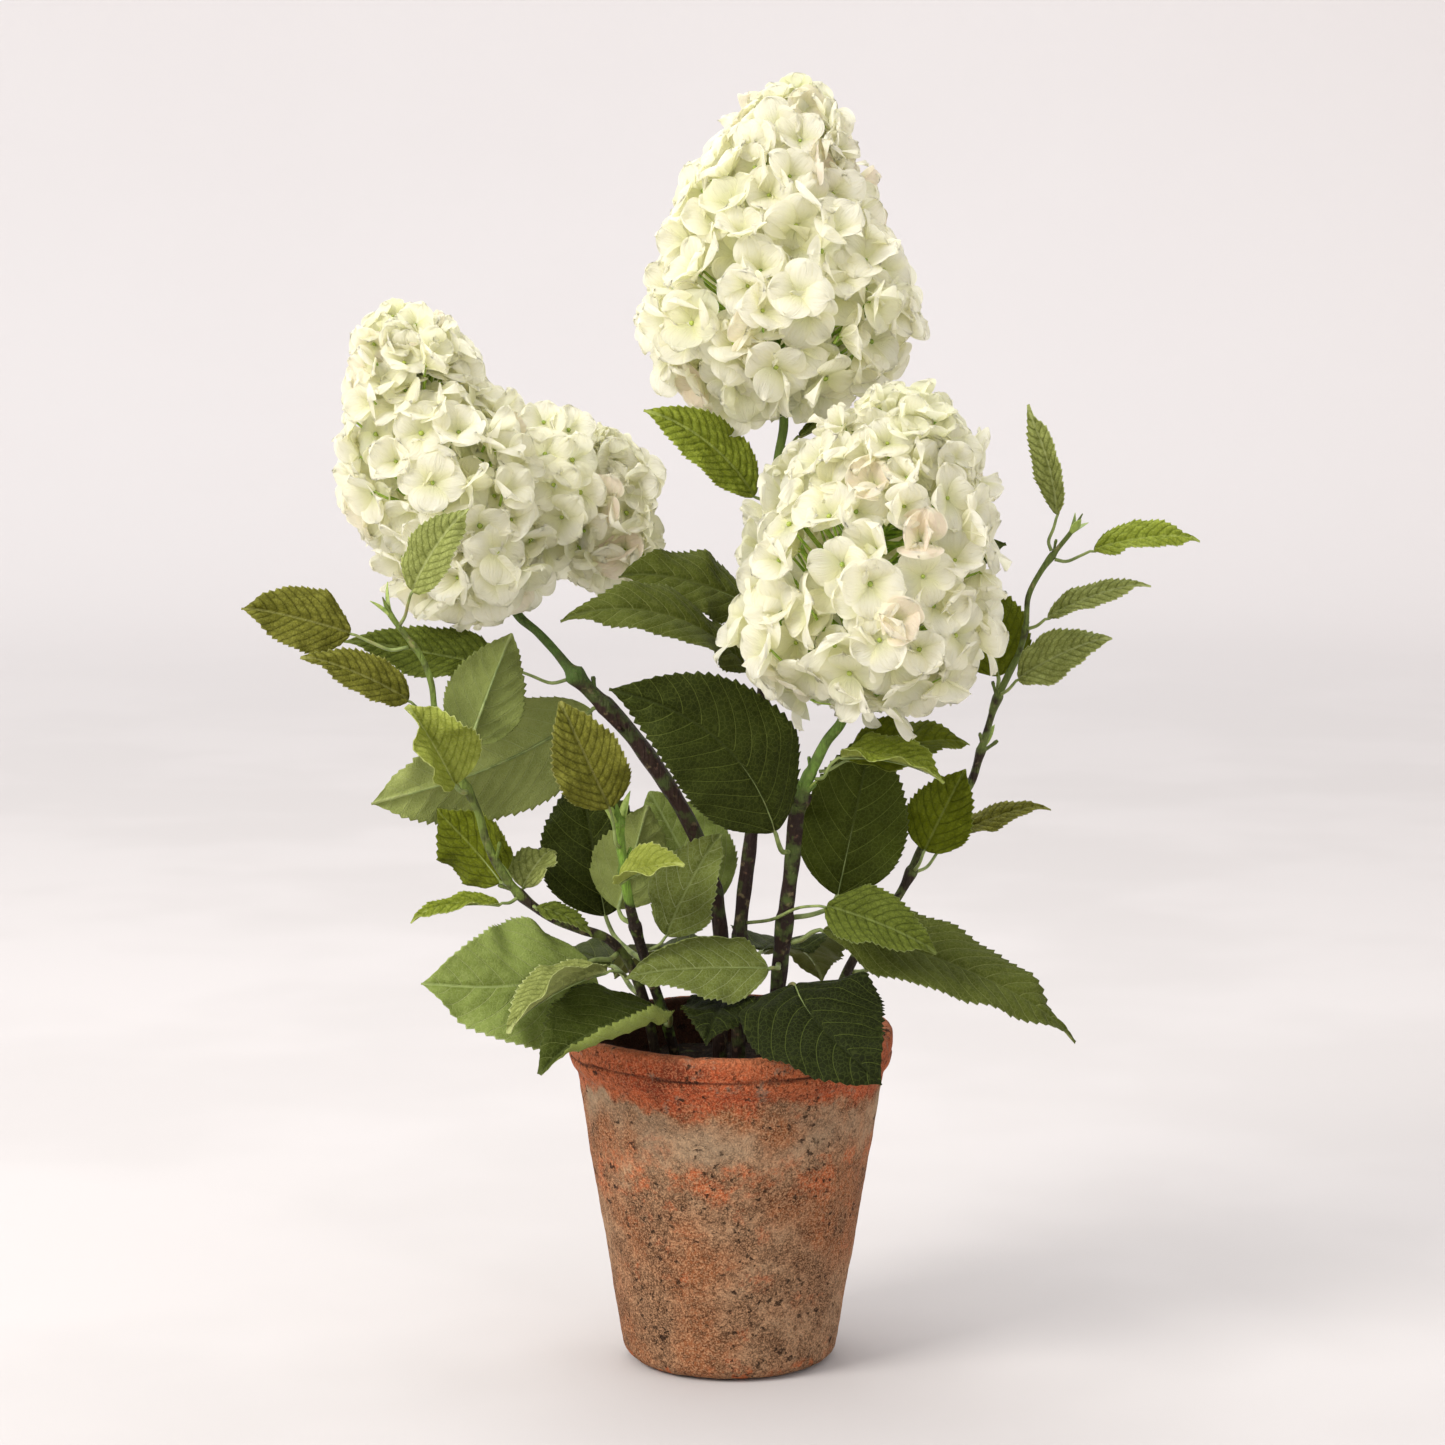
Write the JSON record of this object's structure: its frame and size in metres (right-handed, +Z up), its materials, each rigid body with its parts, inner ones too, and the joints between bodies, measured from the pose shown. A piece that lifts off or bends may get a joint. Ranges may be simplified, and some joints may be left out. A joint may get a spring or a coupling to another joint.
{
  "type": "potted hydrangea",
  "caption": "Decorative panicle hydrangea with cream flower heads, leaves and stems in a tapered terracotta pot.",
  "frame": {"origin": "centre of the flat face that the pot stands on", "axes": "+Z up along the axis of the pot; -Y towards the side the plant is arranged to be seen from"},
  "size_m": [0.473, 0.2307, 0.646],
  "materials": {
    "terracotta": "matt, lime-bloomed",
    "potting_clay": "matt",
    "bark_stem": "matt",
    "green_shoot": "satin",
    "petals": "matt",
    "smooth_leaf": "matt",
    "quilted_leaf": "matt",
    "pale_leaf": "matt"
  },
  "bodies": {
    "root": {"pot": "terracotta", "potting_fill": "potting_clay", "stem_centre": "bark_stem", "stem_left": "bark_stem", "stem_right": "bark_stem", "shoot_left": "green_shoot", "shoot_middle": "green_shoot", "shoot_right": "green_shoot", "flower_head_centre": "petals", "flower_head_left": "petals", "flower_head_right": "petals", "flower_cluster_left": "petals", "shoot_left_leaf_1": "quilted_leaf", "shoot_left_leaf_2": "pale_leaf", "shoot_left_leaf_3": "quilted_leaf", "shoot_left_leaf_4": "quilted_leaf", "shoot_left_leaf_5": "pale_leaf", "shoot_left_leaf_6": "quilted_leaf", "shoot_left_leaf_7": "quilted_leaf", "shoot_left_leaf_8": "quilted_leaf", "shoot_left_leaf_9": "quilted_leaf", "stem_left_leaf_1": "quilted_leaf", "stem_left_leaf_2": "pale_leaf", "stem_left_leaf_3": "smooth_leaf", "shoot_middle_leaf_1": "quilted_leaf", "shoot_middle_leaf_2": "quilted_leaf", "shoot_middle_leaf_3": "pale_leaf", "shoot_middle_leaf_4": "pale_leaf", "shoot_middle_leaf_5": "smooth_leaf", "stem_centre_leaf_1": "smooth_leaf", "stem_centre_leaf_2": "quilted_leaf", "stem_centre_leaf_3": "smooth_leaf", "stem_centre_leaf_4": "smooth_leaf", "stem_centre_leaf_5": "smooth_leaf", "stem_centre_leaf_6": "smooth_leaf", "stem_centre_leaf_7": "smooth_leaf", "stem_right_leaf_1": "quilted_leaf", "stem_right_leaf_2": "quilted_leaf", "stem_right_leaf_3": "smooth_leaf", "stem_right_leaf_4": "smooth_leaf", "shoot_right_leaf_1": "quilted_leaf", "shoot_right_leaf_2": "quilted_leaf", "shoot_right_leaf_3": "quilted_leaf", "shoot_right_leaf_4": "quilted_leaf", "shoot_right_leaf_5": "quilted_leaf", "shoot_right_leaf_6": "quilted_leaf", "shoot_right_leaf_7": "quilted_leaf", "rim_leaf_1": "smooth_leaf", "rim_leaf_2": "quilted_leaf", "rim_leaf_3": "smooth_leaf", "rim_leaf_4": "smooth_leaf", "rim_leaf_5": "smooth_leaf", "rim_leaf_6": "smooth_leaf", "rim_leaf_7": "smooth_leaf", "rim_leaf_8": "quilted_leaf", "rim_leaf_9": "smooth_leaf", "rim_leaf_10": "smooth_leaf", "rim_leaf_11": "smooth_leaf", "rim_leaf_12": "smooth_leaf"}
  },
  "joints": []
}
